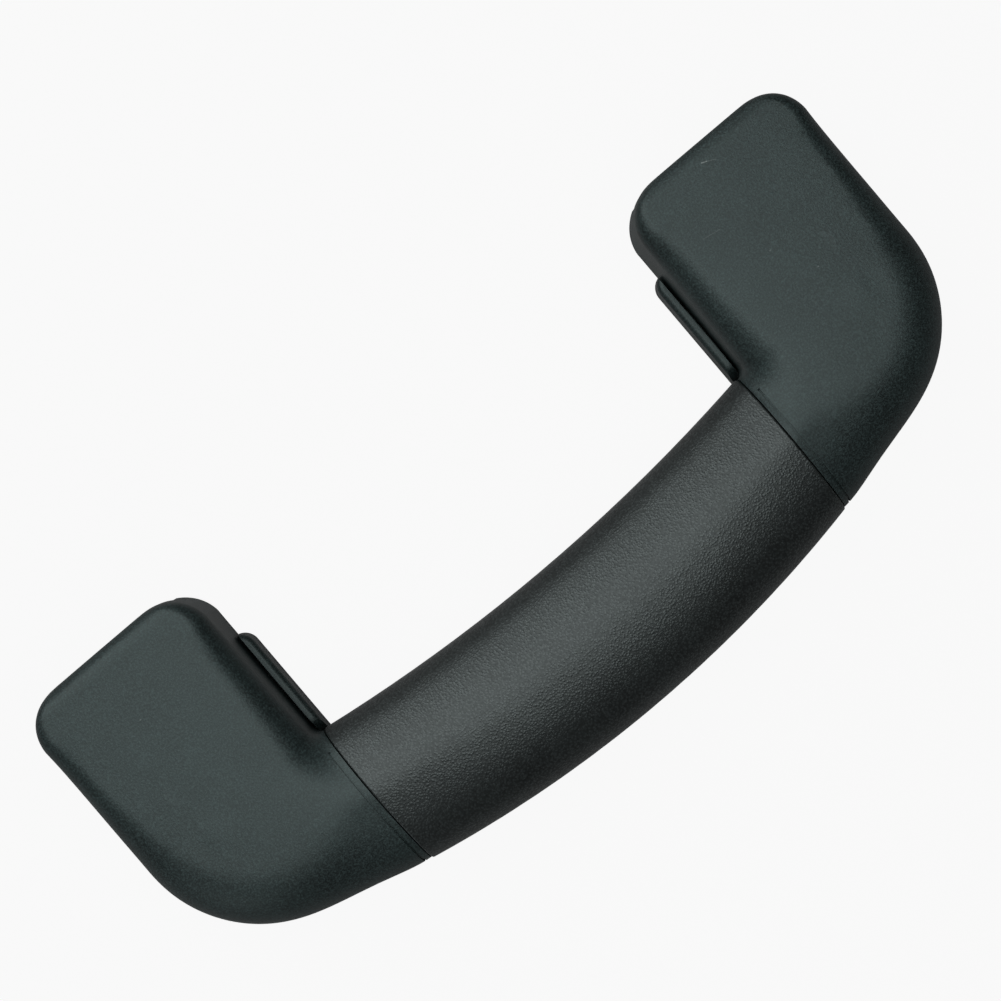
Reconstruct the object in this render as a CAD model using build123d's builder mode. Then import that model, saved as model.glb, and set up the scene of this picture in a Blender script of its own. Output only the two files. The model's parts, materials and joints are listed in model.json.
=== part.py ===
"""Fold-down roof grab handle: a padded grip and two feet, hinged on bases screwed to the roof."""

import os
from math import asin, atan2, cos, degrees, radians, sin, sqrt, tan

from build123d import *

# Overall form, seen from the front
length = 208.8
depth = 83.7
foot_width = 45.6
foot_height = 30.0
corner_radius = 30.0
end_corner_radius = 9.5
end_edge_radius = 3.5
outer_arc_radius = 283.0
inner_arc_radius = 383.0
grip_width = 36.4
notch_radius = 1.9
front_bow_radius = 2000.0
front_crown = 0.3
side_lean = 0.7

# Roundings of the cross-section: reach across the face, then drop down the side
foot_inner_round = (7.5, 7.0)
foot_outer_round = (6.0, 7.0)
grip_inner_round = (12.0, 11.0)
grip_outer_round = (17.0, 13.0)
grip_back_inner_round = (9.0, 7.5)
grip_back_outer_round = (10.0, 8.0)
rim_round = (0.5, 0.5)
least_round = 0.5
handle_share = 0.5523
blend_start = 20.0

# Heights above the roof
rim_height = 2.0
grip_back_height = 6.5

# Shells, seams and clearances
cap_wall = 2.4
core_gap = 0.25
sleeve_wall = 2.6
sleeve_gap = 0.05
sleeve_proud = 0.3
sleeve_edge_radius = 0.4
seam_gap = 0.4
bead_width = 1.0
bead_groove = 0.45
bead_groove_depth = 0.45
bead_fade = 4.0
running_gap = 0.3
fit_gap = 0.05

# Hinge
hinge_inset = 12.0
hinge_height = 14.0
pin_radius = 2.5
pin_head_radius = 3.6
pin_head_length = 1.2
pin_tail = 1.8
retainer_radius = 4.4
retainer_length = 0.8
retainer_teeth = 6
bush_wall = 1.1
bush_flange_radius = 4.6
bush_flange_length = 0.8
knuckle_radius = 5.5
knuckle_length = 6.0
ear_radius = 5.8
ear_thickness = 3.0
ear_foot_width = 9.0
open_angle = 75.0
ear_inset = 2.8
ear_gap = 0.4
ear_slot_gap = 0.6
end_wall_turn = 55.0
cradle_inner_radius = 6.6
cradle_wall = 1.8
cradle_turn = 35.0
stop_gap_turn = 4.0
stop_lug_sweep = 14.0

# Torsion spring in the left foot
spring_wire_radius = 0.6
spring_radius = 4.1
spring_turns = 6.5
spring_leg = 5.5
spring_seat_width = 2.4
leg_rest_depth = 2.4
spring_pitch = 1.7

# Rotary damper in the right foot
damper_radius = 5.2
damper_wall = 1.2
damper_length = 11.0
damper_lid = 1.2
damper_oil_gap = 0.3
damper_key_width = 2.4
damper_key_rise = 1.1
damper_grooves = 8

# Base plates
floor_thickness = 1.6
floor_end_gap = 4.0
floor_side_gap = 1.0
floor_corner_radius = 3.6
screw_row = 34.0
screw_hole_radius = 3.3
tube_wall = 1.2
tower_radius = 7.0
tower_height = 6.0
tower_rib = 1.4
cover_start = 25.0
cover_end = 46.5
cover_wall = 1.5
cover_height = 12.0
cover_side_gap = 0.7
cover_outer_gap = 3.3
box_wall = 1.6
box_top_gap = 0.2
wing_start = 15.5
wing_end = 46.0
wing_reach = 2.4
wing_gap = 0.5
wing_round = 1.3
wing_slope_lead = 2.5
wing_slope_radius = 4.6
wing_bridge_end = 38.0
wing_bridge_height = 5.6
flange_height = 3.2
parting_gap = 0.35

# Rubber stops
bumper_inset = 14.0
bumper_gap = 1.6
bumper_radius = 3.4
bumper_post_radius = 4.4
bumper_post_height = 8.0
bumper_seat = 2.0

# Carrier inside the feet
core_floor = 13.2
hinge_room = 20.4
hinge_room_depth = 18.5
core_well_depth = 47.5
core_well_reach = 5.0
bumper_room = 7.0
pocket_roof = 24.5
pocket_size = (8.6, 9.0)
pocket_pitch = (11.0, 11.8)
pocket_count = (3, 2)
pocket_row = 33.0
pocket_corner = 1.5
cap_screw_shank = 1.2
cap_screw_hole = 1.6
cap_screw_head = 2.6
cap_screw_head_height = 1.8
cap_screw_length = 10.0
cap_screw_seat = 2.2
cap_screw_socket_sides = 6
cap_screw_tip_gap = 0.5
cap_boss_radius = 3.2
cap_boss_bottom = 18.4
pillar_wall = 1.6

half_length = length / 2
foot_inner_x = half_length - foot_width
seam_x = foot_inner_x - notch_radius
far_end = screw_row
hinge_y = far_end - hinge_inset
grip_outer_y = far_end - depth
outer_centre_y = grip_outer_y + outer_arc_radius
inner_centre_y = grip_outer_y + grip_width + inner_arc_radius
corner_x = half_length - corner_radius
corner_y = outer_centre_y - sqrt((outer_arc_radius - corner_radius) ** 2 - corner_x**2)
corner_turn = atan2(outer_centre_y - corner_y, corner_x)
notch_y = inner_centre_y - sqrt(inner_arc_radius**2 - seam_x**2) + notch_radius
blend_length = far_end - blend_start - notch_y + radians(90) * foot_width / 2


def across(x):
    """Height of the gently bowed front at a distance x from the middle."""
    return foot_height + (foot_inner_x**2 - x**2) / (2 * front_bow_radius)


def eased(share):
    """Share between 0 and 1 with soft ends."""
    share = min(max(share, 0), 1)
    return share * share * (3 - 2 * share)


def mixed(first, last, share):
    """Pair of sizes part of the way from one pair to another."""
    return tuple(a + (b - a) * share for a, b in zip(first, last))


def reduced(pair, inset):
    """Roundings of the same edge on a surface that lies further in."""
    return tuple(max(size - inset, least_round) for size in pair)


def upright(x, y, turn):
    """Upright plane at (x, y) whose local X runs along a ray turned from +X towards -Y."""
    ray = (cos(turn), -sin(turn), 0)
    return Plane(origin=(x, y, 0), x_dir=ray, z_dir=(ray[1], -ray[0], 0))


def to_circle(turn, centre_x, centre_y, radius):
    """Distance from the notch centre to the far side of a circle, along a turned ray."""
    along = (centre_x - seam_x) * cos(turn) - (centre_y - notch_y) * sin(turn)
    aside = (centre_x - seam_x) * sin(turn) + (centre_y - notch_y) * cos(turn)
    return along + sqrt(radius**2 - aside**2)


def corner_reach(turn):
    """Distance from the notch centre to the outer outline round the corner."""
    if notch_y - (half_length - seam_x) * tan(turn) > corner_y:
        return (half_length - seam_x) / cos(turn)
    tangent_x = corner_x + corner_radius * cos(corner_turn)
    tangent_y = corner_y - corner_radius * sin(corner_turn)
    if turn < atan2(notch_y - tangent_y, tangent_x - seam_x):
        return to_circle(turn, corner_x, corner_y, corner_radius)
    return to_circle(turn, 0, outer_centre_y, outer_arc_radius)


def profile(plane, low, high, tops, share, inset, back, edges=None):
    """Cross-section from low to high: a crowned front, two sides and a back, with rounded corners."""
    inner, outer = edges or (
        mixed(foot_inner_round, grip_inner_round, share),
        mixed(foot_outer_round, grip_outer_round, share),
    )
    inner, outer = reduced(inner, inset), reduced(outer, inset)
    back_inner = back_outer = reduced(rim_round, inset)
    if back is None:
        back = rim_height + (grip_back_height - rim_height) * share + (inset if share == 1 else 0)
        back_inner = reduced(mixed(rim_round, grip_back_inner_round, share), inset)
        back_outer = reduced(mixed(rim_round, grip_back_outer_round, share), inset)
    low, high, crown = low + inset, high - inset, front_crown
    lean = side_lean * (1 - share)
    x0, x1 = low + inner[0], high - outer[0]
    z0, z1 = tops[0] - inset - crown, tops[1] - inset - crown
    tilt, arch = (z1 - z0) / (x1 - x0), 4 * crown / (x1 - x0)
    side_in, side_out = z0 - inner[1], z1 - outer[1]
    foot_in, foot_out = back + back_inner[1], back + back_outer[1]
    slant_in, slant_out = lean / (side_in - foot_in), lean / (side_out - foot_out)
    pull = handle_share
    third = (x1 - x0) / 3
    with BuildSketch(plane) as face:
        with BuildLine():
            Line((low + back_inner[0], back), (high - back_outer[0], back))
            Bezier(
                (high - back_outer[0], back),
                (high - back_outer[0] * (1 - pull), back),
                (high + slant_out * pull * back_outer[1], foot_out - pull * back_outer[1]),
                (high, foot_out),
            )
            Line((high, foot_out), (high - lean, side_out))
            Bezier(
                (high - lean, side_out),
                (high - lean - slant_out * pull * outer[1], side_out + pull * outer[1]),
                (x1 + pull * outer[0], z1 + (tilt - arch) * pull * outer[0]),
                (x1, z1),
            )
            Bezier(
                (x1, z1),
                (x1 - third, z1 - (tilt - arch) * third),
                (x0 + third, z0 + (tilt + arch) * third),
                (x0, z0),
            )
            Bezier(
                (x0, z0),
                (x0 - pull * inner[0], z0 - (tilt + arch) * pull * inner[0]),
                (low + lean + slant_in * pull * inner[1], side_in + pull * inner[1]),
                (low + lean, side_in),
            )
            Line((low + lean, side_in), (low, foot_in))
            Bezier(
                (low, foot_in),
                (low - slant_in * pull * back_inner[1], foot_in - pull * back_inner[1]),
                (low + back_inner[0] * (1 - pull), back),
                (low + back_inner[0], back),
            )
        make_face()
    return face.sketch


def foot_section(reach, inset=0, back=None):
    """Section across the foot at a distance from its far end."""
    share = eased((reach - blend_start) / blend_length)
    pull_in = drop = 0
    corner, edge = end_corner_radius - inset, max(end_edge_radius - inset, least_round)
    if reach - inset < corner:
        pull_in = corner - sqrt(corner**2 - (corner - reach + inset) ** 2)
    if reach - inset < edge:
        drop = edge - sqrt(edge**2 - (edge - reach + inset) ** 2)
    end_round = (end_edge_radius, end_edge_radius)
    settle = eased(reach / blend_start)
    inner = mixed(end_round, mixed(foot_inner_round, grip_inner_round, share), settle)
    outer = mixed(end_round, mixed(foot_outer_round, grip_outer_round, share), settle)
    low, high = foot_inner_x - seam_x + pull_in, half_length - seam_x - pull_in
    if reach > far_end - corner_y:
        high = to_circle(0, corner_x, corner_y, corner_radius)
    tops = (across(seam_x + low + inner[0]) - drop, across(seam_x + high - outer[0]) - drop)
    plane = upright(seam_x, far_end - reach, 0)
    return profile(plane, low, high, tops, share, inset, back, (inner, outer))


def corner_section(turn, inset=0, back=None):
    """Section round the corner, turned about the notch centre from the foot to the seam."""
    share = eased((far_end - blend_start - notch_y + turn * foot_width / 2) / blend_length)
    inner = mixed(foot_inner_round, grip_inner_round, share)[0]
    outer = mixed(foot_outer_round, grip_outer_round, share)[0]
    low, high = notch_radius, corner_reach(turn)
    tops = (across(seam_x + (low + inner) * cos(turn)), across(seam_x + (high - outer) * cos(turn)))
    return profile(upright(seam_x, notch_y, turn), low, high, tops, share, inset, back)


def grip_section(x, inset=0):
    """Section across the grip at a distance from the middle of the handle."""
    low = notch_y - inner_centre_y + sqrt(inner_arc_radius**2 - x**2)
    high = notch_y - outer_centre_y + sqrt(outer_arc_radius**2 - x**2)
    tops = (across(x), across(x))
    return profile(upright(x, notch_y, radians(90)), low, high, tops, 1, inset, None)


def far_sections(inset=0, back=None):
    """Sections round the far end of a foot, where its corners and its front edge close in."""
    corner = end_corner_radius - inset
    reaches = [inset + corner * (1 - cos(radians(90 * step / 7))) for step in range(8)]
    return [foot_section(reach, inset, back) for reach in reaches]


def straight_sections(inset=0, back=None):
    """Sections along the straight sides of a foot."""
    last = far_end - notch_y
    reaches = [end_corner_radius + (last - end_corner_radius) * step / 4 for step in range(5)]
    return [foot_section(reach, inset, back) for reach in reaches]


def corner_sections(inset=0, back=None):
    """Sections round the corner, from the foot to the seam."""
    return [corner_section(radians(15 * step), inset, back) for step in range(7)]


def grip_sections(end, inset):
    """Sections along the grip, from one end to the other."""
    return [grip_section(end * step / 4, inset) for step in range(-4, 5)]


def sector(inner, outer, start, sweep):
    """Sketch of a ring sector about the hinge axis, with angles from +Y towards +Z."""
    with BuildSketch() as face:
        with BuildLine():
            far = CenterArc((0, 0), outer, start, sweep)
            near = CenterArc((0, 0), inner, start, sweep)
            Line(far @ 0, near @ 0)
            Line(far @ 1, near @ 1)
        make_face()
    return face.sketch


def box_between(x_range, y_range, z_range):
    """Plain block between two corners, for cutting room."""
    ranges = (x_range, y_range, z_range)
    middle = [sum(pair) / 2 for pair in ranges]
    size = [pair[1] - pair[0] for pair in ranges]
    return Pos(*middle) * Box(*size, mode=Mode.PRIVATE)


def write(piece, label):
    """Name a finished piece and write it to its own file."""
    piece.label = label
    export_step(piece, f"parts/{label}.step")


# Places along the hinge axis
cavity_low = foot_inner_x + cap_wall
cavity_high = half_length - cap_wall
inner_ear = cavity_low + ear_inset
outer_ear = cavity_high - ear_inset - ear_thickness
inner_knuckle = inner_ear + ear_thickness + ear_gap
outer_knuckle = outer_ear - ear_gap - knuckle_length
spring_middle = (inner_knuckle + knuckle_length + outer_knuckle) / 2
bush_bore = pin_radius + fit_gap
bush_radius = bush_bore + bush_wall
hinge_plane = Plane(origin=(0, hinge_y, hinge_height), x_dir=(0, 1, 0), z_dir=(1, 0, 0))

spring_low = spring_middle - spring_turns * spring_pitch / 2
spring_high = spring_middle + spring_turns * spring_pitch / 2
spring_reach = spring_radius + spring_wire_radius + fit_gap

# Places on the base
screw_x = foot_inner_x + foot_width / 2
wing_low = foot_inner_x - wing_reach
wing_high = foot_inner_x - wing_gap
cover_low = cavity_low + cover_side_gap
cover_high = cavity_high - cover_outer_gap
core_inset = cap_wall + core_gap
bumper_x = foot_inner_x + bumper_inset
bumper_y = far_end - cover_end - bumper_gap - bumper_post_radius


# Solid forms that the shells and the carrier are cut from
with BuildPart() as end_round:
    with BuildSketch(Plane.YZ.offset(foot_inner_x - 1)):
        with Locations((hinge_y, hinge_height)):
            Rectangle(hinge_inset + 1, hinge_height + 2, align=(Align.MIN, Align.MAX))
            Circle(hinge_inset, mode=Mode.SUBTRACT)
    extrude(amount=foot_width + 2)

with BuildPart() as inner_end_round:
    with BuildSketch(Plane.YZ.offset(foot_inner_x - 1)):
        with Locations((hinge_y, hinge_height)):
            Rectangle(hinge_inset + 1, hinge_height + 2, align=(Align.MIN, Align.MAX))
            Circle(hinge_inset - cap_wall, mode=Mode.SUBTRACT)
    extrude(amount=foot_width + 2)

with BuildPart() as foot_form:
    loft(sections=far_sections())
    loft(sections=straight_sections())
    loft(sections=corner_sections())
    add(end_round.part, mode=Mode.SUBTRACT)

with BuildPart() as foot_hollow:
    loft(sections=far_sections(cap_wall, -1))
    loft(sections=straight_sections(cap_wall, -1))
    loft(sections=corner_sections(cap_wall, -1))
    add(inner_end_round.part, mode=Mode.SUBTRACT)

with BuildPart() as core_form:
    loft(sections=far_sections(core_inset, -1))
    loft(sections=straight_sections(core_inset, -1))
    loft(sections=corner_sections(core_inset, -1))
    add(foot_form.part, mode=Mode.INTERSECT)

# Room in the inner wall of a foot for the bridge of the screw cover, round the hinge
with BuildPart() as wall_room:
    with BuildSketch(Plane.YZ.offset(foot_inner_x - 1)):
        with Locations((far_end - wing_bridge_end - ear_slot_gap, -1)):
            Rectangle(
                wing_bridge_end + ear_slot_gap - hinge_inset,
                wing_bridge_height + ear_slot_gap + 1,
                align=(Align.MIN, Align.MIN),
            )
        with Locations((hinge_y, hinge_height)):
            Circle(hinge_inset + ear_slot_gap, mode=Mode.SUBTRACT)
    extrude(amount=cap_wall + 1.5)

# Decorative groove beside the seam, which fades out before the notch
groove_end = seam_x + seam_gap / 2 + bead_width + bead_groove
with BuildPart() as bead_cut:
    extrude(to_extrude=grip_section(groove_end, -2), amount=bead_groove)
    extrude(to_extrude=grip_section(groove_end, bead_groove_depth), amount=bead_groove, mode=Mode.SUBTRACT)
    fade = box_between(
        (seam_x, groove_end + bead_groove),
        (notch_y - notch_radius - bead_fade, far_end),
        (0, 2 * foot_height),
    )
    add(fade, mode=Mode.SUBTRACT)

# Screws that hold a cap to the carrier
cap_screw_places = [(screw_x + side * pocket_pitch[0] / 2, far_end - pocket_row) for side in (-1, 1)]
screw_head_face = core_floor + cap_screw_seat

with BuildPart() as end_cap_right:
    add(foot_form.part)
    add(foot_hollow.part, mode=Mode.SUBTRACT)
    add(wall_room.part, mode=Mode.SUBTRACT)
    wall_turn = radians(end_wall_turn)
    end_opening = box_between(
        (inner_ear, outer_ear + ear_thickness),
        (hinge_y - 1, hinge_y + hinge_inset * cos(wall_turn)),
        (0, hinge_height - (hinge_inset - cap_wall) * sin(wall_turn)),
    )
    add(end_opening, mode=Mode.SUBTRACT)
    slot_angle = open_angle - 90 + degrees(asin(ear_foot_width / 2 / (hinge_inset - cap_wall)))
    slot_top = hinge_height + hinge_inset * sin(radians(slot_angle)) + ear_slot_gap
    for ear in (inner_ear, outer_ear):
        slot = box_between(
            (ear - ear_slot_gap, ear + ear_thickness + ear_slot_gap),
            (hinge_y, far_end + 1),
            (0, slot_top),
        )
        add(slot, mode=Mode.SUBTRACT)
    with BuildSketch(Plane.XY.offset(cap_boss_bottom)):
        with Locations(*cap_screw_places):
            Circle(cap_boss_radius)
    extrude(amount=foot_height - cap_wall / 2 - cap_boss_bottom)
    with BuildSketch(Plane.XY.offset(cap_boss_bottom)):
        with Locations(*cap_screw_places):
            Circle(cap_screw_shank + fit_gap)
    screw_hole_top = screw_head_face + cap_screw_length + cap_screw_tip_gap
    extrude(amount=screw_hole_top - cap_boss_bottom, mode=Mode.SUBTRACT)
    add(bead_cut.part, mode=Mode.SUBTRACT)

# Carrier: a solid bow in the grip and a ribbed plate in each foot, with the hinge knuckles under it
with BuildPart() as grip_bar:
    loft(sections=grip_sections(seam_x, sleeve_wall + sleeve_gap))

with BuildPart() as core_end:
    add(core_form.part)
    over_hinge = box_between(
        (foot_inner_x, half_length), (far_end - hinge_room_depth, far_end), (-2, hinge_room)
    )
    over_base = box_between(
        (foot_inner_x - core_well_reach, half_length),
        (far_end - core_well_depth, far_end),
        (-2, core_floor),
    )
    add([over_hinge, over_base], mode=Mode.SUBTRACT)
    with BuildSketch(Plane.XY.offset(-2)):
        with Locations((bumper_x, bumper_y)):
            Circle(bumper_room)
    extrude(amount=core_floor + 2, mode=Mode.SUBTRACT)
    with BuildSketch(Plane.XY.offset(core_floor - 1)):
        with Locations((screw_x, far_end - pocket_row)):
            with GridLocations(*pocket_pitch, *pocket_count):
                RectangleRounded(*pocket_size, pocket_corner)
        with Locations(*cap_screw_places):
            Circle(cap_boss_radius + running_gap + pillar_wall, mode=Mode.SUBTRACT)
    extrude(amount=pocket_roof - core_floor + 1, mode=Mode.SUBTRACT)
    with BuildSketch(Plane.XY.offset(cap_boss_bottom - running_gap)):
        with Locations(*cap_screw_places):
            Circle(cap_boss_radius + running_gap)
    extrude(amount=foot_height, mode=Mode.SUBTRACT)
    with BuildSketch(Plane.XY.offset(core_floor - 1)):
        with Locations(*cap_screw_places):
            Circle(cap_screw_hole)
    extrude(amount=foot_height, mode=Mode.SUBTRACT)
    with BuildSketch(Plane.XY.offset(core_floor - 1)):
        with Locations(*cap_screw_places):
            Circle(cap_screw_head + running_gap)
    extrude(amount=cap_screw_seat + 1, mode=Mode.SUBTRACT)
    for knuckle in (inner_knuckle, outer_knuckle):
        with BuildSketch(hinge_plane.offset(knuckle)):
            Circle(knuckle_radius)
            Rectangle(2 * knuckle_radius, hinge_room - hinge_height + 1, align=(Align.CENTER, Align.MIN))
            lug_angle = 90 + cradle_turn - open_angle - stop_gap_turn
            lug_reach = cradle_inner_radius + cradle_wall
            add(sector(knuckle_radius - 1, lug_reach, 180 - lug_angle, -stop_lug_sweep))
        extrude(amount=knuckle_length)
        with BuildSketch(hinge_plane.offset(knuckle)):
            Circle(bush_radius + fit_gap)
        extrude(amount=knuckle_length, mode=Mode.SUBTRACT)
    spring_seat = box_between(
        (spring_high - spring_seat_width / 2, spring_high + spring_seat_width / 2),
        (hinge_y + spring_leg / 2, hinge_y + spring_leg),
        (hinge_height + spring_reach, hinge_room + 1),
    )
    add(spring_seat)
    key_slot = box_between(
        (spring_middle - damper_length / 2, spring_middle + damper_length / 2),
        (hinge_y - damper_key_width / 2 - fit_gap, hinge_y + damper_key_width / 2 + fit_gap),
        (hinge_room - 1, hinge_room + damper_key_rise + fit_gap),
    )
    add(key_slot, mode=Mode.SUBTRACT)

with BuildPart() as handle_core:
    add(grip_bar.part)
    add(core_end.part)
    mirror(core_end.part, about=Plane.YZ)

with BuildPart() as grip_sleeve:
    sleeve_end = seam_x - seam_gap / 2
    loft(sections=grip_sections(sleeve_end, -sleeve_proud))
    ends = grip_sleeve.faces().sort_by(Axis.X)
    fillet([*ends[0].edges(), *ends[-1].edges()], sleeve_edge_radius)
    loft(sections=grip_sections(sleeve_end, sleeve_wall), mode=Mode.SUBTRACT)

# Base: floor, screw tower, cover box, ears with a cradle between them, and the rim seen beside the foot
floor_low = cavity_low + wing_gap
floor_high = cavity_high - floor_side_gap
box_low = cover_low + cover_wall + box_top_gap
box_high = cover_high - cover_wall - box_top_gap
box_start = cover_start + cover_wall + box_top_gap
box_end = cover_end - cover_wall - box_top_gap
box_height = cover_height - cover_wall - box_top_gap

# Plan of the strip beside the foot, rounded at its free corner
with BuildSketch() as strip_plan:
    with Locations((wing_low, far_end - wing_end)):
        Rectangle(floor_low - wing_low + 1, wing_end - wing_start, align=(Align.MIN, Align.MIN))
    fillet(strip_plan.vertices().group_by(Axis.Y)[-1].sort_by(Axis.X)[0], floor_corner_radius)
    fillet(strip_plan.vertices().group_by(Axis.Y)[0].sort_by(Axis.X)[0], wing_round)

post_reach = bumper_post_radius + box_wall
with BuildPart() as hinge_base_right:
    with BuildSketch() as floor_plan:
        floor_depth = cover_end + box_wall - floor_end_gap
        with Locations((floor_low, far_end - floor_end_gap)):
            Rectangle(floor_high - floor_low, floor_depth, align=(Align.MIN, Align.MAX))
        with Locations((bumper_x, bumper_y)):
            Circle(post_reach)
            Rectangle(2 * post_reach, 2 * post_reach, align=(Align.CENTER, Align.MIN))
        fillet(floor_plan.vertices().group_by(Axis.Y)[-1], floor_corner_radius)
    extrude(amount=floor_thickness)
    extrude(to_extrude=strip_plan.sketch, amount=flange_height)
    over_strip = box_between(
        (wing_high, floor_low + 1), (far_end - wing_end - 1, far_end), (floor_thickness, flange_height + 1)
    )
    add(over_strip, mode=Mode.SUBTRACT)
    with BuildSketch(Plane.XY.offset(floor_thickness / 2)):
        box_width, box_depth = box_high - box_low, box_end - box_start
        with Locations(((box_low + box_high) / 2, far_end - (box_start + box_end) / 2)):
            Rectangle(box_width, box_depth)
            Rectangle(box_width - 2 * box_wall, box_depth - 2 * box_wall, mode=Mode.SUBTRACT)
    extrude(amount=box_height - floor_thickness / 2)
    with BuildSketch(Plane.XY.offset(floor_thickness / 2)):
        with Locations((screw_x, 0)):
            Circle(tower_radius)
        with Locations(((box_low + box_high) / 2, 0)):
            Rectangle(box_width - box_wall, tower_rib)
        with Locations((screw_x, far_end - (box_start + box_end) / 2)):
            Rectangle(tower_rib, box_depth - box_wall)
    extrude(amount=tower_height - floor_thickness / 2)
    with BuildSketch():
        with Locations((screw_x, 0)):
            Circle(screw_hole_radius + tube_wall + fit_gap)
    extrude(amount=tower_height, mode=Mode.SUBTRACT)
    with BuildSketch(Plane.XY.offset(floor_thickness / 2)):
        with Locations((bumper_x, bumper_y)):
            Circle(bumper_post_radius)
    extrude(amount=bumper_post_height - floor_thickness / 2)
    with BuildSketch(Plane.XY.offset(bumper_post_height - bumper_seat)):
        with Locations((bumper_x, bumper_y)):
            Circle(bumper_radius + fit_gap)
    extrude(amount=bumper_seat, mode=Mode.SUBTRACT)
    for ear in (inner_ear, outer_ear):
        with BuildSketch(hinge_plane.offset(ear)):
            Circle(ear_radius)
            Rectangle(ear_foot_width, hinge_height - floor_thickness / 2, align=(Align.CENTER, Align.MAX))
            Circle(pin_radius + fit_gap, mode=Mode.SUBTRACT)
        extrude(amount=ear_thickness)
    with BuildSketch(hinge_plane.offset(inner_ear + ear_thickness)):
        cradle_outer_radius = cradle_inner_radius + cradle_wall
        cradle_from = 270 - cradle_turn
        add(sector(cradle_inner_radius, cradle_outer_radius, cradle_from, 2 * cradle_turn))
    extrude(amount=outer_ear - inner_ear - ear_thickness)
    leg_rest = box_between(
        (spring_low - spring_seat_width / 2, spring_low + spring_seat_width / 2),
        (hinge_y + spring_leg / 2, hinge_y + spring_leg),
        (hinge_height - spring_reach - leg_rest_depth, hinge_height - spring_reach),
    )
    add(leg_rest)

# Cover that snaps over the box, with the rounded wing that shows beside the foot
with BuildPart() as wing:
    extrude(to_extrude=strip_plan.sketch, amount=cover_height)
    fillet(wing.faces().sort_by(Axis.Z)[-1].edges(), wing_round)
    above_flange = box_between(
        (wing_low - 1, floor_low + 2), (far_end - wing_end - 1, far_end), (-1, flange_height + parting_gap)
    )
    add(above_flange, mode=Mode.SUBTRACT)
    over_bridge = box_between(
        (wing_high, floor_low + 2), (far_end - wing_end - 1, far_end), (wing_bridge_height, cover_height + 1)
    )
    add(over_bridge, mode=Mode.SUBTRACT)
    for last, first in ((cover_start, wing_start - 1), (wing_end + 1, wing_bridge_end)):
        beside = box_between(
            (wing_high, floor_low + 2), (far_end - last, far_end - first), (-1, cover_height + 1)
        )
        add(beside, mode=Mode.SUBTRACT)
    with BuildSketch(Plane.YZ.offset(wing_low - 1)):
        with Locations((notch_y + wing_slope_lead, cover_height - wing_slope_radius)):
            Rectangle(wing_end, wing_slope_radius + 1, align=(Align.MAX, Align.MIN))
            Circle(wing_slope_radius, mode=Mode.SUBTRACT)
    extrude(amount=floor_low - wing_low + 3, mode=Mode.SUBTRACT)

with BuildPart() as screw_cover_right:
    with BuildSketch(Plane.XY.offset(floor_thickness + running_gap)):
        with Locations(((cover_low + cover_high) / 2, far_end - (cover_start + cover_end) / 2)):
            RectangleRounded(cover_high - cover_low, cover_end - cover_start, cover_wall)
    extrude(amount=cover_height - floor_thickness - running_gap)
    fillet(screw_cover_right.faces().sort_by(Axis.Z)[-1].edges(), cover_wall / 2)
    inside = box_between(
        (cover_low + cover_wall, cover_high - cover_wall),
        (far_end - cover_end + cover_wall, far_end - cover_start - cover_wall),
        (0, cover_height - cover_wall),
    )
    add(inside, mode=Mode.SUBTRACT)
    add(wing.part)

# Small parts of the hinge and the base
with BuildPart() as screw_tube_right:
    with BuildSketch():
        with Locations((screw_x, 0)):
            Circle(screw_hole_radius + tube_wall)
            Circle(screw_hole_radius, mode=Mode.SUBTRACT)
    extrude(amount=tower_height)

with BuildPart() as stop_bumper_right:
    with BuildSketch(Plane.XY.offset(bumper_post_height - bumper_seat)):
        with Locations((bumper_x, bumper_y)):
            Circle(bumper_radius)
    extrude(amount=core_floor - running_gap - bumper_post_height + bumper_seat)
    fillet(stop_bumper_right.faces().sort_by(Axis.Z)[-1].edges(), least_round)

with BuildPart() as hinge_pin_right:
    with BuildSketch(hinge_plane.offset(inner_ear - pin_tail)):
        Circle(pin_radius)
    extrude(amount=outer_ear + ear_thickness - inner_ear + pin_tail)
    with BuildSketch(hinge_plane.offset(outer_ear + ear_thickness)):
        Circle(pin_head_radius)
    extrude(amount=pin_head_length)
    chamfer(hinge_pin_right.faces().sort_by(Axis.X)[0].edges(), least_round)

with BuildPart() as pin_retainer_right:
    with BuildSketch(hinge_plane.offset(inner_ear - retainer_length)):
        Circle(retainer_radius)
        Circle(pin_radius + fit_gap, mode=Mode.SUBTRACT)
        with PolarLocations(pin_radius + fit_gap, retainer_teeth):
            Rectangle(least_round * 2, least_round, mode=Mode.SUBTRACT)
    extrude(amount=retainer_length)

with BuildPart() as pivot_bushes_right:
    for start, flange in ((inner_knuckle, inner_knuckle + knuckle_length), (outer_knuckle, outer_knuckle)):
        with BuildSketch(hinge_plane.offset(start)):
            Circle(bush_radius)
            Circle(bush_bore, mode=Mode.SUBTRACT)
        extrude(amount=knuckle_length)
        with BuildSketch(hinge_plane.offset(flange)):
            Circle(bush_flange_radius)
            Circle(bush_bore, mode=Mode.SUBTRACT)
        extrude(amount=bush_flange_length if flange > start else -bush_flange_length)

with BuildPart() as cap_screws:
    with BuildSketch(Plane.XY.offset(screw_head_face)):
        with Locations(*cap_screw_places):
            Circle(cap_screw_shank)
    extrude(amount=cap_screw_length)
    with BuildSketch(Plane.XY.offset(screw_head_face)):
        with Locations(*cap_screw_places):
            Circle(cap_screw_head)
    extrude(amount=-cap_screw_head_height)
    with BuildSketch(Plane.XY.offset(screw_head_face - cap_screw_head_height)):
        with Locations(*cap_screw_places):
            RegularPolygon(cap_screw_shank, cap_screw_socket_sides)
    extrude(amount=cap_screw_head_height / 2, mode=Mode.SUBTRACT)
    mirror(about=Plane.YZ)

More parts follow.
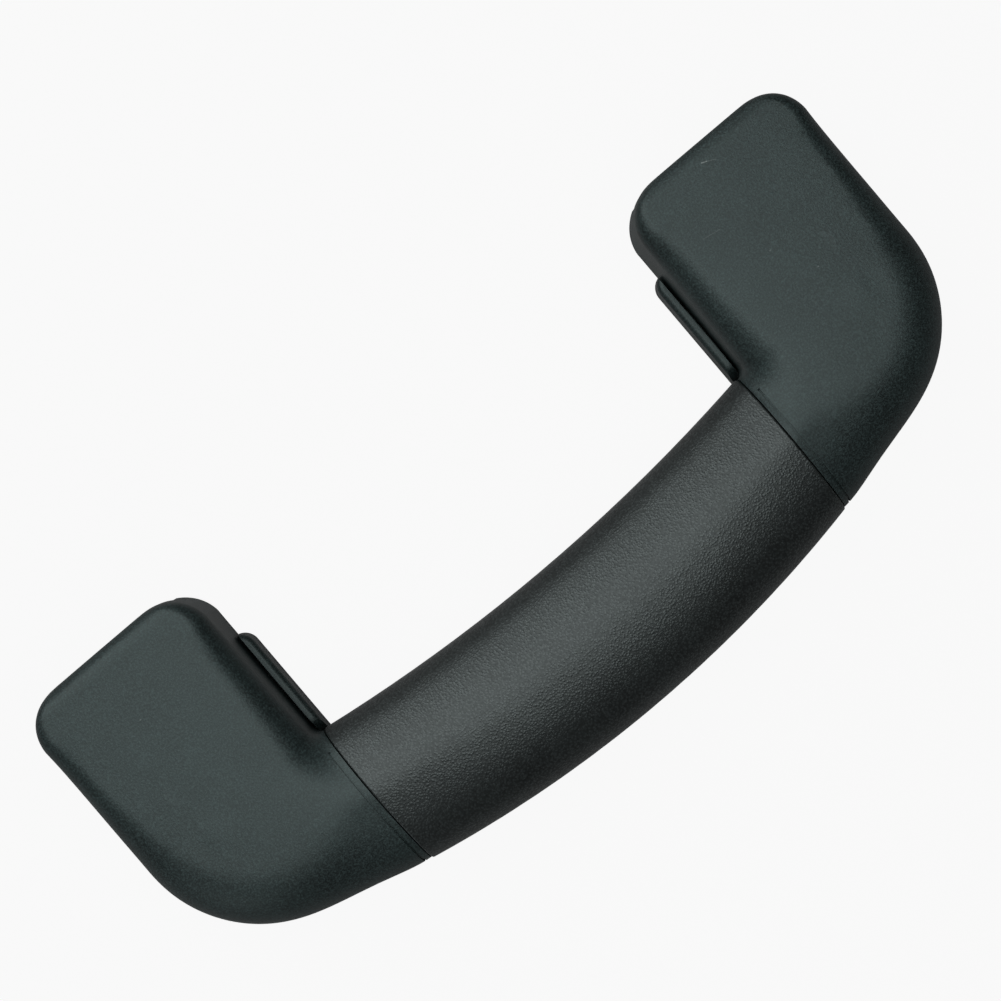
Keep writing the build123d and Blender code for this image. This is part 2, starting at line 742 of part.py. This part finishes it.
# Torsion spring in the left foot: a coil round the pin, one leg under the carrier and one on the cradle
with BuildPart() as torsion_spring:
    with BuildLine():
        coil = Helix(
            pitch=spring_pitch,
            height=spring_high - spring_low,
            radius=spring_radius,
            center=(-spring_high, hinge_y, hinge_height),
            direction=(1, 0, 0),
        )
    with BuildSketch(Plane(origin=coil @ 0, z_dir=coil % 0)):
        Circle(spring_wire_radius)
    sweep(path=coil, is_frenet=True)
    for tip in (coil @ 0, coil @ 1):
        with BuildSketch(Plane(origin=tip, z_dir=(0, 1, 0))):
            Circle(spring_wire_radius)
        extrude(amount=spring_leg)

# Rotary damper in the right foot: a housing keyed to the carrier and a rotor on the fixed pin
damper_start = spring_middle - damper_length / 2
with BuildPart() as damper_housing:
    with BuildSketch(hinge_plane.offset(damper_start)):
        Circle(damper_radius)
        key_reach = hinge_room + damper_key_rise - hinge_height
        Rectangle(damper_key_width, key_reach, align=(Align.CENTER, Align.MIN))
        Circle(damper_radius - damper_wall, mode=Mode.SUBTRACT)
    extrude(amount=damper_length - damper_lid)

with BuildPart() as damper_lid_ring:
    with BuildSketch(hinge_plane.offset(damper_start + damper_length - damper_lid)):
        Circle(damper_radius)
        Circle(pin_radius + running_gap, mode=Mode.SUBTRACT)
    extrude(amount=damper_lid)

with BuildPart() as damper_rotor:
    with BuildSketch(hinge_plane.offset(damper_start + running_gap)):
        Circle(damper_radius - damper_wall - damper_oil_gap)
        Circle(pin_radius + fit_gap, mode=Mode.SUBTRACT)
        with PolarLocations(damper_radius - damper_wall - damper_oil_gap, damper_grooves):
            Circle(damper_oil_gap, mode=Mode.SUBTRACT)
    extrude(amount=damper_length - damper_lid - 2 * running_gap)

os.makedirs("parts", exist_ok=True)
paired = {
    "end_cap": end_cap_right,
    "hinge_base": hinge_base_right,
    "screw_cover": screw_cover_right,
    "screw_tube": screw_tube_right,
    "stop_bumper": stop_bumper_right,
    "hinge_pin": hinge_pin_right,
    "pin_retainer": pin_retainer_right,
    "pivot_bushes": pivot_bushes_right,
}
for name, piece in paired.items():
    write(piece.part, f"{name}_right")
    write(piece.part.mirror(Plane.YZ), f"{name}_left")
write(handle_core.part, "handle_core")
write(grip_sleeve.part, "grip_sleeve")
write(cap_screws.part, "cap_screws")
write(torsion_spring.part, "torsion_spring")
write(damper_housing.part, "damper_housing")
write(damper_lid_ring.part, "damper_lid")
write(damper_rotor.part, "damper_rotor")
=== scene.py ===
"""Finishes, stage and camera of a fold-down roof grab handle: an add-on that is run as a script."""

import json
from math import radians

import bpy
from bpy.props import FloatProperty, FloatVectorProperty, PointerProperty
from mathutils import Matrix, Vector

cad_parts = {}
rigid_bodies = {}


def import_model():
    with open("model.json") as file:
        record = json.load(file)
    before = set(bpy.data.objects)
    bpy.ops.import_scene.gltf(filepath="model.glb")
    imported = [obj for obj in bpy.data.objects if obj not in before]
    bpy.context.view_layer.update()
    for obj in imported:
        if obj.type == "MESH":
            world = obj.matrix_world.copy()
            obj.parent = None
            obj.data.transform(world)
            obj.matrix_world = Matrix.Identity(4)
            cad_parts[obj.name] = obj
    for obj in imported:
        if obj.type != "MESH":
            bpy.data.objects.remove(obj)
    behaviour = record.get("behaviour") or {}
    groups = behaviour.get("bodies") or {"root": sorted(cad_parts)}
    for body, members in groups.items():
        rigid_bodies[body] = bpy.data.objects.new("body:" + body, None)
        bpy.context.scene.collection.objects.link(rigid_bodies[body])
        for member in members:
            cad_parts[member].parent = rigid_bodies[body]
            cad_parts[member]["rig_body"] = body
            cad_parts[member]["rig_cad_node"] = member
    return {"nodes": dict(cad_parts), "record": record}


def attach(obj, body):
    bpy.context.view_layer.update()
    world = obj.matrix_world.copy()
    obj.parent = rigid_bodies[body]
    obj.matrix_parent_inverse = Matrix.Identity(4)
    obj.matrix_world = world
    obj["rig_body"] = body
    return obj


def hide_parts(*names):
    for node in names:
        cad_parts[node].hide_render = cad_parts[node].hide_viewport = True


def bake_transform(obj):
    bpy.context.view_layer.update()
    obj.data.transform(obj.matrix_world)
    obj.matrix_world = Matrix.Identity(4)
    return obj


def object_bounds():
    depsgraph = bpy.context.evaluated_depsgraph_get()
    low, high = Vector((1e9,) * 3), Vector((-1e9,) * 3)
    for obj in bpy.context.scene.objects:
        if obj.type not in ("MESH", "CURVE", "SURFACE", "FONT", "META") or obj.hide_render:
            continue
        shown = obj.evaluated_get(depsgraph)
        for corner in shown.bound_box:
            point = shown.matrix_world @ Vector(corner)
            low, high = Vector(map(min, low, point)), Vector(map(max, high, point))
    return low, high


bl_info = {
    "name": "Roof grab handle",
    "version": (1, 0, 0),
    "blender": (4, 5, 0),
    "location": "3D View > Sidebar > Handle",
    "description": "Builds the finished pieces, the stage and the camera of a roof grab handle",
    "category": "Object",
}

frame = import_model()
cad_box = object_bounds()
record = frame["record"]
body_of = {node: body for body, nodes in record["behaviour"]["bodies"].items() for node in nodes}
MM = 0.001

# Camera: its turn about X, Y and Z in radians, the point it looks at, and its distance from there
CAMERA_TURN = (-0.015, 0.0099, -0.7032)
CAMERA_AIM = (0.0, -8.0 * MM, 15.0 * MM)
CAMERA_DISTANCE = 763.0 * MM
SENSOR_WIDTH = 36.0
NEAR_CLIP = 10.0 * MM

# Picture: its side, how far right of its middle and below it that point lies, and the scale there
PICTURE_PIXELS = 1001
PICTURE_OFFSET = (27.1, 50.7)
PIXELS_PER_METRE = 4748.9

# Lamps: name, place, width and depth in metres, and power in watts
LAMPS = (
    ("overhead", (-0.15, 0.28, 1.0), (1.0, 2.25), 17.5),
    ("far fill", (-0.1, 1.0, 0.42), (1.2, 0.5), 2.2),
    ("low fill", (-0.75, -0.5, 0.4), (0.5, 0.5), 0.9),
)
LIGHT_AIM = (0.0, -0.01, 0.01)
ROOM_STRENGTH = 0.03

# Floor: its side, its gap under the handle, its tone, and its own glow as seen and as reflected
FLOOR_SIZE = 6.0
FLOOR_GAP = 0.2 * MM
FLOOR_TONE = 0.22
FLOOR_GLOW = 0.93
FLOOR_GLOW_IN_GLOSS = 0.05

# Tints of the soft shine on the feet and on the grip, and the colour of a scratch
FOOT_SHEEN = (0.82, 1.0, 0.985)
GRIP_SHEEN = (0.88, 1.0, 0.99)
SCRATCH_COLOUR = (0.34, 0.37, 0.36)

# Colours of the small parts
RUBBER_COLOUR = (0.02, 0.02, 0.02)
DAMPER_COLOUR = (0.09, 0.09, 0.10)

# Darkest and lightest shade in each finish, as factors of its colour
# On the feet these span painted shade in the grain's hollows to painted glints on its tops
FOOT_GLINT_SHADES = (0.20, 2.40)
# On the grip likewise, from painted shade in the hollows to painted glints on the pebbles' tops
GRIP_GLINT_SHADES = (0.05, 2.60)
PLAIN_SHADES = (0.9, 1.12)
STEEL_SHADES = (0.86, 1.06)
RUBBER_SHADES = (0.8, 1.5)

# Widths of the patterns in the finishes
FOOT_CLOUD = 14 * MM
GRIP_CLOUD = 16 * MM
FLOW_MARK = 6 * MM
PLASTIC_SKIN = 0.6 * MM
STEEL_CLOUD = 3 * MM
DRAWN_LINE = 0.25 * MM
RUBBER_DUST = 0.5 * MM
SCRATCH_BREAK = 0.3 * MM

# Depths of the smaller bumps, and the scale along each axis that draws out the lines on steel
PLASTIC_SKIN_DEPTH = 0.012 * MM
DRAWN_LINE_DEPTH = 0.006 * MM
RUBBER_DUST_DEPTH = 0.02 * MM
DRAWN_LINE_STRETCH = (0.08, 1, 1)

# Shares of the cloudy tone in each finish, and of the fine grain in the grip's pebbles
FOOT_CLOUD_SHARE = 0.1
GRIP_CLOUD_SHARE = 0.12
FINE_GRAIN_SHARE = 0.25

# Depth of the feet's and the covers' grain against the grip's
FOOT_GRAIN_DEPTH = 1.2
COVER_GRAIN_DEPTH = 0.5

# Roughness in the grip's hollows, and how much less it is on the tops of the pebbles
GRIP_ROUGHNESS = 0.46
GRIP_POLISH = 0.18

# Copies of the CAD meshes: how near points are merged, and how far large faces lead the shading
MERGE_WITHIN = 0.001 * MM
FACE_WEIGHT = 80

# Scratches: share of the width at full strength, least share left where one is broken
SCRATCH_CORE = 0.3
SCRATCH_LEFT = 0.4

# Heights in millimetres between which the wear sets in, so that it lies on the front alone
WORN_HEIGHTS = (24.0, 26.0)

# Wear in the photograph: both ends of each scratch or speck, its width in mm and its strength
SCRATCHES = (
    ((79.3, 30.1), (80.3, 29.7), 0.18, 0.38),
    ((80.3, 29.7), (82.1, 28.8), 0.14, 0.12),
    ((69.4, 17.9), (73.4, 17.2), 0.14, 0.09),
    ((83.8, -1.7), (84.0, -1.8), 0.18, 0.22),
    ((78.4, 7.2), (78.6, 7.2), 0.18, 0.16),
    ((-83.6, 17.4), (-83.4, 17.4), 0.18, 0.22),
)
GRIP_SPECKS = (
    ((0.3, -24.6), (0.5, -24.6), 0.16, 0.22),
)


class HandleColours(bpy.types.PropertyGroup):
    """Colours of the finishes."""

    foot: FloatVectorProperty(
        name="Feet",
        description="Grained plastic of the feet",
        subtype="COLOR",
        default=(0.013, 0.020, 0.020),
    )
    grip: FloatVectorProperty(
        name="Grip",
        description="Soft grained skin of the grip",
        subtype="COLOR",
        default=(0.010, 0.012, 0.012),
    )
    hidden: FloatVectorProperty(
        name="Carrier",
        description="Plain plastic inside the handle",
        subtype="COLOR",
        default=(0.012, 0.013, 0.014),
    )
    base: FloatVectorProperty(
        name="Bases",
        description="Plain plastic of the bases",
        subtype="COLOR",
        default=(0.011, 0.014, 0.014),
    )
    bush: FloatVectorProperty(
        name="Bushes",
        description="Natural plastic of the bushes",
        subtype="COLOR",
        default=(0.70, 0.68, 0.62),
    )
    steel: FloatVectorProperty(
        name="Steel",
        description="Pins, tubes and spring",
        subtype="COLOR",
        default=(0.56, 0.56, 0.55),
    )


class HandleSizes(bpy.types.PropertyGroup):
    """Sizes of the surface detail."""

    foot_grain: FloatProperty(
        name="Foot grain",
        description="Width of a grain on the feet",
        unit="LENGTH",
        default=0.42 * MM,
    )
    grip_grain: FloatProperty(
        name="Grip grain",
        description="Width of a grain on the grip",
        unit="LENGTH",
        default=0.52 * MM,
    )
    grain_depth: FloatProperty(
        name="Grain depth",
        description="Depth of the grain",
        unit="LENGTH",
        default=0.05 * MM,
    )
    crease_angle: FloatProperty(
        name="Crease",
        description="Angle over which an edge stays sharp",
        subtype="ANGLE",
        default=radians(32),
    )


class Wire:
    """Output of a shader node, on which sums are written as on numbers."""

    def __init__(self, finish, socket):
        self.finish, self.socket = finish, socket

    def sum(self, operation, *values):
        """Math node with these values, in order."""
        return self.finish.node("ShaderNodeMath", {"operation": operation}, dict(enumerate(values)))

    def __add__(self, other):
        return self.sum("ADD", self, other)

    def __sub__(self, other):
        return self.sum("SUBTRACT", self, other)

    def __rsub__(self, other):
        return self.sum("SUBTRACT", other, self)

    def __mul__(self, other):
        return self.sum("MULTIPLY", self, other)

    def __truediv__(self, other):
        return self.sum("DIVIDE", self, other)

    def __pow__(self, other):
        return self.sum("POWER", self, other)

    __radd__, __rmul__ = __add__, __mul__

    def between(self, low, high):
        """0 below low, 1 above high, soft between."""
        settings = {"interpolation_type": "SMOOTHSTEP"}
        inputs = {"Value": self, "From Min": low, "From Max": high}
        return self.finish.node("ShaderNodeMapRange", settings, inputs)

    def held(self, low, high):
        """This value, held between low and high."""
        raised = self.sum("MAXIMUM", self, low)
        return raised.sum("MINIMUM", raised, high)

    def mixed(self, other, share):
        """This pattern with a share of another in it."""
        return self * (1 - share) + other * share

    def about(self, middle, swing):
        """Value that follows this pattern, half the swing below the middle to half above it."""
        return self * swing + (middle - swing / 2)


class Finish:
    """Material in the making, on one Principled shader."""

    def __init__(self, name):
        self.material = bpy.data.materials.new(name)
        self.material.use_nodes = True
        self.tree = self.material.node_tree
        self.tree.nodes.clear()
        self.shader = self.tree.nodes.new("ShaderNodeBsdfPrincipled")
        output = self.tree.nodes.new("ShaderNodeOutputMaterial")
        self.tree.links.new(self.shader.outputs[0], output.inputs["Surface"])
        self.place = self.node("ShaderNodeTexCoord", {}, {}, "Object")

    def node(self, kind, settings, inputs, output=0):
        """New node with its settings, then the values or links of its sockets."""
        node = self.tree.nodes.new(kind)
        for key, value in settings.items():
            setattr(node, key, value)
        for key, value in inputs.items():
            self.join(node.inputs[key], value)
        return Wire(self, node.outputs[output])

    def join(self, socket, value):
        """Link or plain value of one socket."""
        if isinstance(value, Wire):
            self.tree.links.new(value.socket, socket)
        elif socket.type == "RGBA":
            socket.default_value = (*value, 1)
        else:
            socket.default_value = value

    def set(self, **values):
        """Values or links of the Principled shader's sockets."""
        for key, value in values.items():
            self.join(self.shader.inputs[key], value)

    def noise(self, width, detail=2.0, rough=0.5, place=None):
        """Cloudy pattern whose blots are about one width across."""
        vector = place or self.place
        inputs = {"Vector": vector, "Scale": 1 / width, "Detail": detail, "Roughness": rough}
        return self.node("ShaderNodeTexNoise", {}, inputs, "Fac")

    def cells(self, width):
        """Pebbled pattern whose cells are about one width across."""
        inputs = {"Vector": self.place, "Scale": 1 / width}
        return self.node("ShaderNodeTexVoronoi", {"feature": "F1"}, inputs, "Distance")

    def blend(self, share, first, second):
        """Colour part of the way from the first to the second."""
        inputs = {"Factor": share, 6: first, 7: second}
        return self.node("ShaderNodeMix", {"data_type": "RGBA"}, inputs, 2)

    def mottle_and_glints(self, share, colour, shades):
        """Colour that goes from its darkest to its lightest shade as the share rises: random tone in
        most finishes, painted glints and painted shade on the grain of the feet and the grip.
        """
        darkest, lightest = shades
        return self.blend(share, shade(colour, darkest), shade(colour, lightest))

    def relief(self, height, depth):
        """Bump from a height between 0 and 1, at full strength."""
        inputs = {"Height": height, "Distance": depth, "Strength": 1.0}
        self.set(Normal=self.node("ShaderNodeBump", {}, inputs))

    def scratches(self, marks):
        """Strength of the scratches at a point, each a short straight line seen from the front."""
        split = "ShaderNodeSeparateXYZ"
        x, y, z = (self.node(split, {}, {"Vector": self.place}, axis) / MM for axis in "XYZ")
        broken = self.noise(SCRATCH_BREAK, detail=1.0).between(0.30, 0.55)
        total = 0
        for start, end, width, strength in marks:
            run = (end[0] - start[0], end[1] - start[1])
            length_squared = run[0] ** 2 + run[1] ** 2
            along = ((x - start[0]) * run[0] + (y - start[1]) * run[1]) / length_squared
            along = along.held(0.0, 1.0)
            aside = x - start[0] - along * run[0]
            ahead = y - start[1] - along * run[1]
            distance = (aside * aside + ahead * ahead) ** 0.5
            total = total + (1 - distance.between(width * SCRATCH_CORE, width)) * strength
        whole = broken * (1 - SCRATCH_LEFT) + SCRATCH_LEFT
        return total * z.between(*WORN_HEIGHTS) * whole


def shade(colour, factor):
    """Colour made lighter or darker."""
    return tuple(channel * factor for channel in colour)


def moulded_plastic(name, colour, grain, depth, roughness, marks=()):
    """Matt plastic with a fine grain, painted glints on the grain's tops and painted shade in its
    hollows, and light scratches where it has them.
    """
    finish = Finish(name)
    pits = finish.noise(grain, rough=0.8)
    clouds = finish.noise(FOOT_CLOUD)
    # Painted glints and painted shade: the base colour is lightest where the grain's bump stands
    # highest and darkest in its hollows, with a small share of random cloudy tone
    painted_glints = pits.between(0.28, 0.78) ** 1.5
    tone = painted_glints.mixed(clouds.between(0.3, 0.7), FOOT_CLOUD_SHARE)
    base = finish.mottle_and_glints(tone, colour, FOOT_GLINT_SHADES)
    if marks:
        base = finish.blend(finish.scratches(marks), base, SCRATCH_COLOUR)
    finish.set(**{
        "Base Color": base,
        "Roughness": pits.about(roughness, swing=0.16),
        "Specular IOR Level": 0.43,
        "Specular Tint": FOOT_SHEEN,
    })
    finish.relief(pits, depth)
    return finish.material


def leather_grain(name, colour, grain, depth, marks):
    """Soft skin with a pebbled leather grain, painted glints on the pebbles' tops and painted shade
    in the hollows between them.
    """
    finish = Finish(name)
    pebbles = 1 - finish.cells(grain).between(0.1, 0.7)
    fine = finish.noise(grain, detail=1.0, rough=0.6)
    clouds = finish.noise(GRIP_CLOUD)
    height = pebbles.mixed(fine.between(0.3, 0.7), FINE_GRAIN_SHARE)
    # Painted glints and painted shade: the base colour follows the pebbles' height, light on their
    # tops and dark in the hollows, with a small share of random cloudy tone
    tone = height.mixed(clouds.between(0.3, 0.7), GRIP_CLOUD_SHARE)
    base = finish.mottle_and_glints(tone, colour, GRIP_GLINT_SHADES)
    finish.set(**{
        "Base Color": finish.blend(finish.scratches(marks), base, SCRATCH_COLOUR),
        "Roughness": GRIP_ROUGHNESS - height * GRIP_POLISH,
        "Specular IOR Level": 0.57,
        "Specular Tint": GRIP_SHEEN,
    })
    finish.relief(height, depth)
    return finish.material


def plain_plastic(name, colour, roughness):
    """Smooth moulded plastic with faint flow marks."""
    finish = Finish(name)
    flow = finish.noise(FLOW_MARK, detail=3.0)
    skin = finish.noise(PLASTIC_SKIN)
    finish.set(**{
        "Base Color": finish.mottle_and_glints(flow, colour, PLAIN_SHADES),
        "Roughness": skin.about(roughness, swing=0.14),
        "Specular IOR Level": 0.4,
    })
    finish.relief(skin, PLASTIC_SKIN_DEPTH)
    return finish.material


def turned_steel(name, colour, roughness):
    """Bright steel with fine drawn lines along the hinge."""
    finish = Finish(name)
    inputs = {"Vector": finish.place, "Scale": DRAWN_LINE_STRETCH}
    stretched = finish.node("ShaderNodeMapping", {}, inputs)
    lines = finish.noise(DRAWN_LINE, place=stretched)
    clouds = finish.noise(STEEL_CLOUD)
    finish.set(**{
        "Metallic": 1.0,
        "Base Color": finish.mottle_and_glints(clouds, colour, STEEL_SHADES),
        "Roughness": lines.about(roughness, swing=0.18),
    })
    finish.relief(lines, DRAWN_LINE_DEPTH)
    return finish.material


def matt_rubber(name, colour):
    """Dull rubber with a dusty tone."""
    finish = Finish(name)
    dust = finish.noise(RUBBER_DUST, detail=3.0)
    finish.set(**{
        "Base Color": finish.mottle_and_glints(dust, colour, RUBBER_SHADES),
        "Roughness": dust.about(0.85, swing=0.1),
        "Specular IOR Level": 0.25,
    })
    finish.relief(dust, RUBBER_DUST_DEPTH)
    return finish.material


def pale_floor():
    """Floor that looks nearly white, keeps a soft shadow and throws little light back."""
    finish = Finish("pale floor")
    finish.set(**{"Base Color": (FLOOR_TONE,) * 3, "Roughness": 0.9, "Specular IOR Level": 0.2})
    camera, gloss, through = (
        finish.node("ShaderNodeLightPath", {}, {}, kind)
        for kind in ("Is Camera Ray", "Is Glossy Ray", "Is Transmission Ray")
    )
    glow = finish.node("ShaderNodeEmission", {}, {"Color": (1, 1, 1), "Strength": 1.0})
    share = (camera + through) * FLOOR_GLOW + gloss * FLOOR_GLOW_IN_GLOSS
    plain = Wire(finish, finish.shader.outputs[0])
    both = finish.node("ShaderNodeMixShader", {}, {"Fac": share, 1: plain, 2: glow})
    output = next(node for node in finish.tree.nodes if node.type == "OUTPUT_MATERIAL")
    finish.join(output.inputs["Surface"], both)
    return finish.material


def settled(piece, node):
    """Finish a piece that stands for a CAD node."""
    piece.name = node + "_skin"
    if node == "torsion_spring":
        wound(piece)
    else:
        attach(piece, body_of[node])
    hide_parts(node)


def wound(piece):
    """Spring, with its place baked into its mesh."""
    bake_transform(piece)


def smooth_copy(node, material, crease):
    """Piece with a CAD node's shape, its triangles merged and its curved faces shaded smooth."""
    bpy.ops.object.select_all(action="DESELECT")
    piece = frame["nodes"][node].copy()
    piece.data = piece.data.copy()
    piece.parent = None
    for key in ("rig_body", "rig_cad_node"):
        if key in piece:
            del piece[key]
    bpy.context.scene.collection.objects.link(piece)
    bpy.context.view_layer.objects.active = piece
    piece.select_set(True)
    if piece.data.has_custom_normals:
        bpy.ops.mesh.customdata_custom_splitnormals_clear()
    bpy.ops.object.mode_set(mode="EDIT")
    bpy.ops.mesh.select_all(action="SELECT")
    bpy.ops.mesh.remove_doubles(threshold=MERGE_WITHIN)
    bpy.ops.object.mode_set(mode="OBJECT")
    bpy.ops.object.shade_smooth_by_angle(angle=crease)
    weigh = piece.modifiers.new("even shading", "WEIGHTED_NORMAL")
    weigh.keep_sharp = True
    weigh.weight = FACE_WEIGHT
    bpy.ops.object.modifier_apply(modifier=weigh.name)
    piece.data.materials.clear()
    piece.data.materials.append(material)
    piece.select_set(False)
    settled(piece, node)


class HANDLE_OT_sleeve(bpy.types.Operator):
    """Soft skin over the grip."""

    bl_idname = "handle.sleeve"
    bl_label = "Grip sleeve"

    def execute(self, context):
        colours, sizes = context.scene.handle_colours, context.scene.handle_sizes
        skin = leather_grain(
            "grip leather grain",
            colours.grip,
            grain=sizes.grip_grain,
            depth=sizes.grain_depth,
            marks=GRIP_SPECKS,
        )
        smooth_copy("grip_sleeve", skin, sizes.crease_angle)
        return {"FINISHED"}


class HANDLE_OT_feet(bpy.types.Operator):
    """The two moulded feet, with their corners."""

    bl_idname = "handle.feet"
    bl_label = "Feet"

    def execute(self, context):
        colours, sizes = context.scene.handle_colours, context.scene.handle_sizes
        grained = moulded_plastic(
            "foot grained plastic",
            colours.foot,
            grain=sizes.foot_grain,
            depth=sizes.grain_depth * FOOT_GRAIN_DEPTH,
            roughness=0.46,
            marks=SCRATCHES,
        )
        for side in ("right", "left"):
            smooth_copy(f"end_cap_{side}", grained, sizes.crease_angle)
        return {"FINISHED"}


class HANDLE_OT_carrier(bpy.types.Operator):
    """Carrier inside the sleeve and the feet, with its screws."""

    bl_idname = "handle.carrier"
    bl_label = "Carrier"

    def execute(self, context):
        colours, sizes = context.scene.handle_colours, context.scene.handle_sizes
        hidden = plain_plastic("carrier plastic", colours.hidden, roughness=0.5)
        smooth_copy("handle_core", hidden, sizes.crease_angle)
        dark = turned_steel("dark zinc", shade(colours.steel, factor=0.4), roughness=0.45)
        smooth_copy("cap_screws", dark, sizes.crease_angle)
        return {"FINISHED"}


class HANDLE_OT_bases(bpy.types.Operator):
    """Bases, their covers, tubes and rubber stops."""

    bl_idname = "handle.bases"
    bl_label = "Bases"

    def execute(self, context):
        colours, sizes = context.scene.handle_colours, context.scene.handle_sizes
        base = plain_plastic("base plastic", colours.base, roughness=0.48)
        cover = moulded_plastic(
            "cover grained plastic",
            shade(colours.foot, factor=0.8),
            grain=sizes.foot_grain,
            depth=sizes.grain_depth * COVER_GRAIN_DEPTH,
            roughness=0.45,
        )
        rubber = matt_rubber("stop rubber", RUBBER_COLOUR)
        zinc = turned_steel("zinc plated steel", colours.steel, roughness=0.4)
        for side in ("right", "left"):
            smooth_copy(f"hinge_base_{side}", base, sizes.crease_angle)
            smooth_copy(f"screw_cover_{side}", cover, sizes.crease_angle)
            smooth_copy(f"screw_tube_{side}", zinc, sizes.crease_angle)
            smooth_copy(f"stop_bumper_{side}", rubber, sizes.crease_angle)
        return {"FINISHED"}


class HANDLE_OT_hinges(bpy.types.Operator):
    """Hinge pins, retainers, bushes, spring and damper."""

    bl_idname = "handle.hinges"
    bl_label = "Hinges"

    def execute(self, context):
        colours, sizes = context.scene.handle_colours, context.scene.handle_sizes
        pin = turned_steel("ground steel", colours.steel, roughness=0.3)
        sprung = turned_steel("spring steel", shade(colours.steel, factor=0.7), roughness=0.35)
        natural = plain_plastic("natural plastic", colours.bush, roughness=0.45)
        grey = plain_plastic("damper plastic", DAMPER_COLOUR, roughness=0.45)
        for side in ("right", "left"):
            smooth_copy(f"hinge_pin_{side}", pin, sizes.crease_angle)
            smooth_copy(f"pin_retainer_{side}", sprung, sizes.crease_angle)
            smooth_copy(f"pivot_bushes_{side}", natural, sizes.crease_angle)
        smooth_copy("torsion_spring", sprung, sizes.crease_angle)
        smooth_copy("damper_housing", grey, sizes.crease_angle)
        smooth_copy("damper_lid", grey, sizes.crease_angle)
        smooth_copy("damper_rotor", natural, sizes.crease_angle)
        return {"FINISHED"}


class HANDLE_OT_stage(bpy.types.Operator):
    """Pale floor, soft lights and the camera."""

    bl_idname = "handle.stage"
    bl_label = "Stage"

    def execute(self, context):
        bpy.ops.object.select_all(action="DESELECT")
        scene = context.scene
        scene.view_settings.view_transform = "Standard"
        under = (0, 0, cad_box[0].z - FLOOR_GAP)
        bpy.ops.mesh.primitive_plane_add(size=FLOOR_SIZE, location=under)
        floor = context.object
        floor.name = "floor"
        bpy.ops.object.transform_apply(location=True)
        floor.data.materials.append(pale_floor())

        world = bpy.data.worlds.new("soft room")
        world.use_nodes = True
        scene.world = world
        background = world.node_tree.nodes["Background"]
        background.inputs["Color"].default_value = (1, 1, 1, 1)
        background.inputs["Strength"].default_value = ROOM_STRENGTH

        for name, place, size, power in LAMPS:
            lamp = bpy.data.lights.new(name, "AREA")
            lamp.shape = "RECTANGLE"
            lamp.size, lamp.size_y = size
            lamp.energy = power
            holder = bpy.data.objects.new(name, lamp)
            scene.collection.objects.link(holder)
            holder.location = Vector(place)
            holder.rotation_mode = "QUATERNION"
            facing = Vector(LIGHT_AIM) - holder.location
            holder.rotation_quaternion = facing.to_track_quat("-Z", "Y")

        eye = Matrix.Identity(3)
        for angle, axis in zip(CAMERA_TURN, "XYZ"):
            eye = eye @ Matrix.Rotation(angle, 3, axis)
        camera = bpy.data.objects.new("camera", bpy.data.cameras.new("camera"))
        scene.collection.objects.link(camera)
        camera.rotation_mode = "QUATERNION"
        camera.rotation_quaternion = eye.to_quaternion()
        camera.location = Vector(CAMERA_AIM) + eye.col[2] * CAMERA_DISTANCE
        camera.data.sensor_width = SENSOR_WIDTH
        camera.data.lens = SENSOR_WIDTH * PIXELS_PER_METRE * CAMERA_DISTANCE / PICTURE_PIXELS
        camera.data.shift_x = -PICTURE_OFFSET[0] / PICTURE_PIXELS
        camera.data.shift_y = PICTURE_OFFSET[1] / PICTURE_PIXELS
        camera.data.clip_start = NEAR_CLIP
        scene.camera = camera
        return {"FINISHED"}


class HANDLE_PT_panel(bpy.types.Panel):
    """Sidebar panel with the handle's pieces."""

    bl_idname = "HANDLE_PT_panel"
    bl_label = "Roof grab handle"
    bl_space_type = "VIEW_3D"
    bl_region_type = "UI"
    bl_category = "Handle"

    def draw(self, context):
        for operator in OPERATORS:
            self.layout.operator(operator.bl_idname)
        for group in (context.scene.handle_colours, context.scene.handle_sizes):
            for name in group.__annotations__:
                self.layout.prop(group, name)


OPERATORS = (
    HANDLE_OT_sleeve,
    HANDLE_OT_feet,
    HANDLE_OT_carrier,
    HANDLE_OT_bases,
    HANDLE_OT_hinges,
    HANDLE_OT_stage,
)
CLASSES = (HandleColours, HandleSizes, *OPERATORS, HANDLE_PT_panel)


def register():
    for cls in CLASSES:
        bpy.utils.register_class(cls)
    bpy.types.Scene.handle_colours = PointerProperty(type=HandleColours)
    bpy.types.Scene.handle_sizes = PointerProperty(type=HandleSizes)


def unregister():
    del bpy.types.Scene.handle_sizes
    del bpy.types.Scene.handle_colours
    for cls in reversed(CLASSES):
        bpy.utils.unregister_class(cls)


def main():
    """Make every piece and the stage."""
    register()
    for operator in OPERATORS:
        group, name = operator.bl_idname.split(".")
        getattr(getattr(bpy.ops, group), name)()


if __name__ == "__main__":
    main()
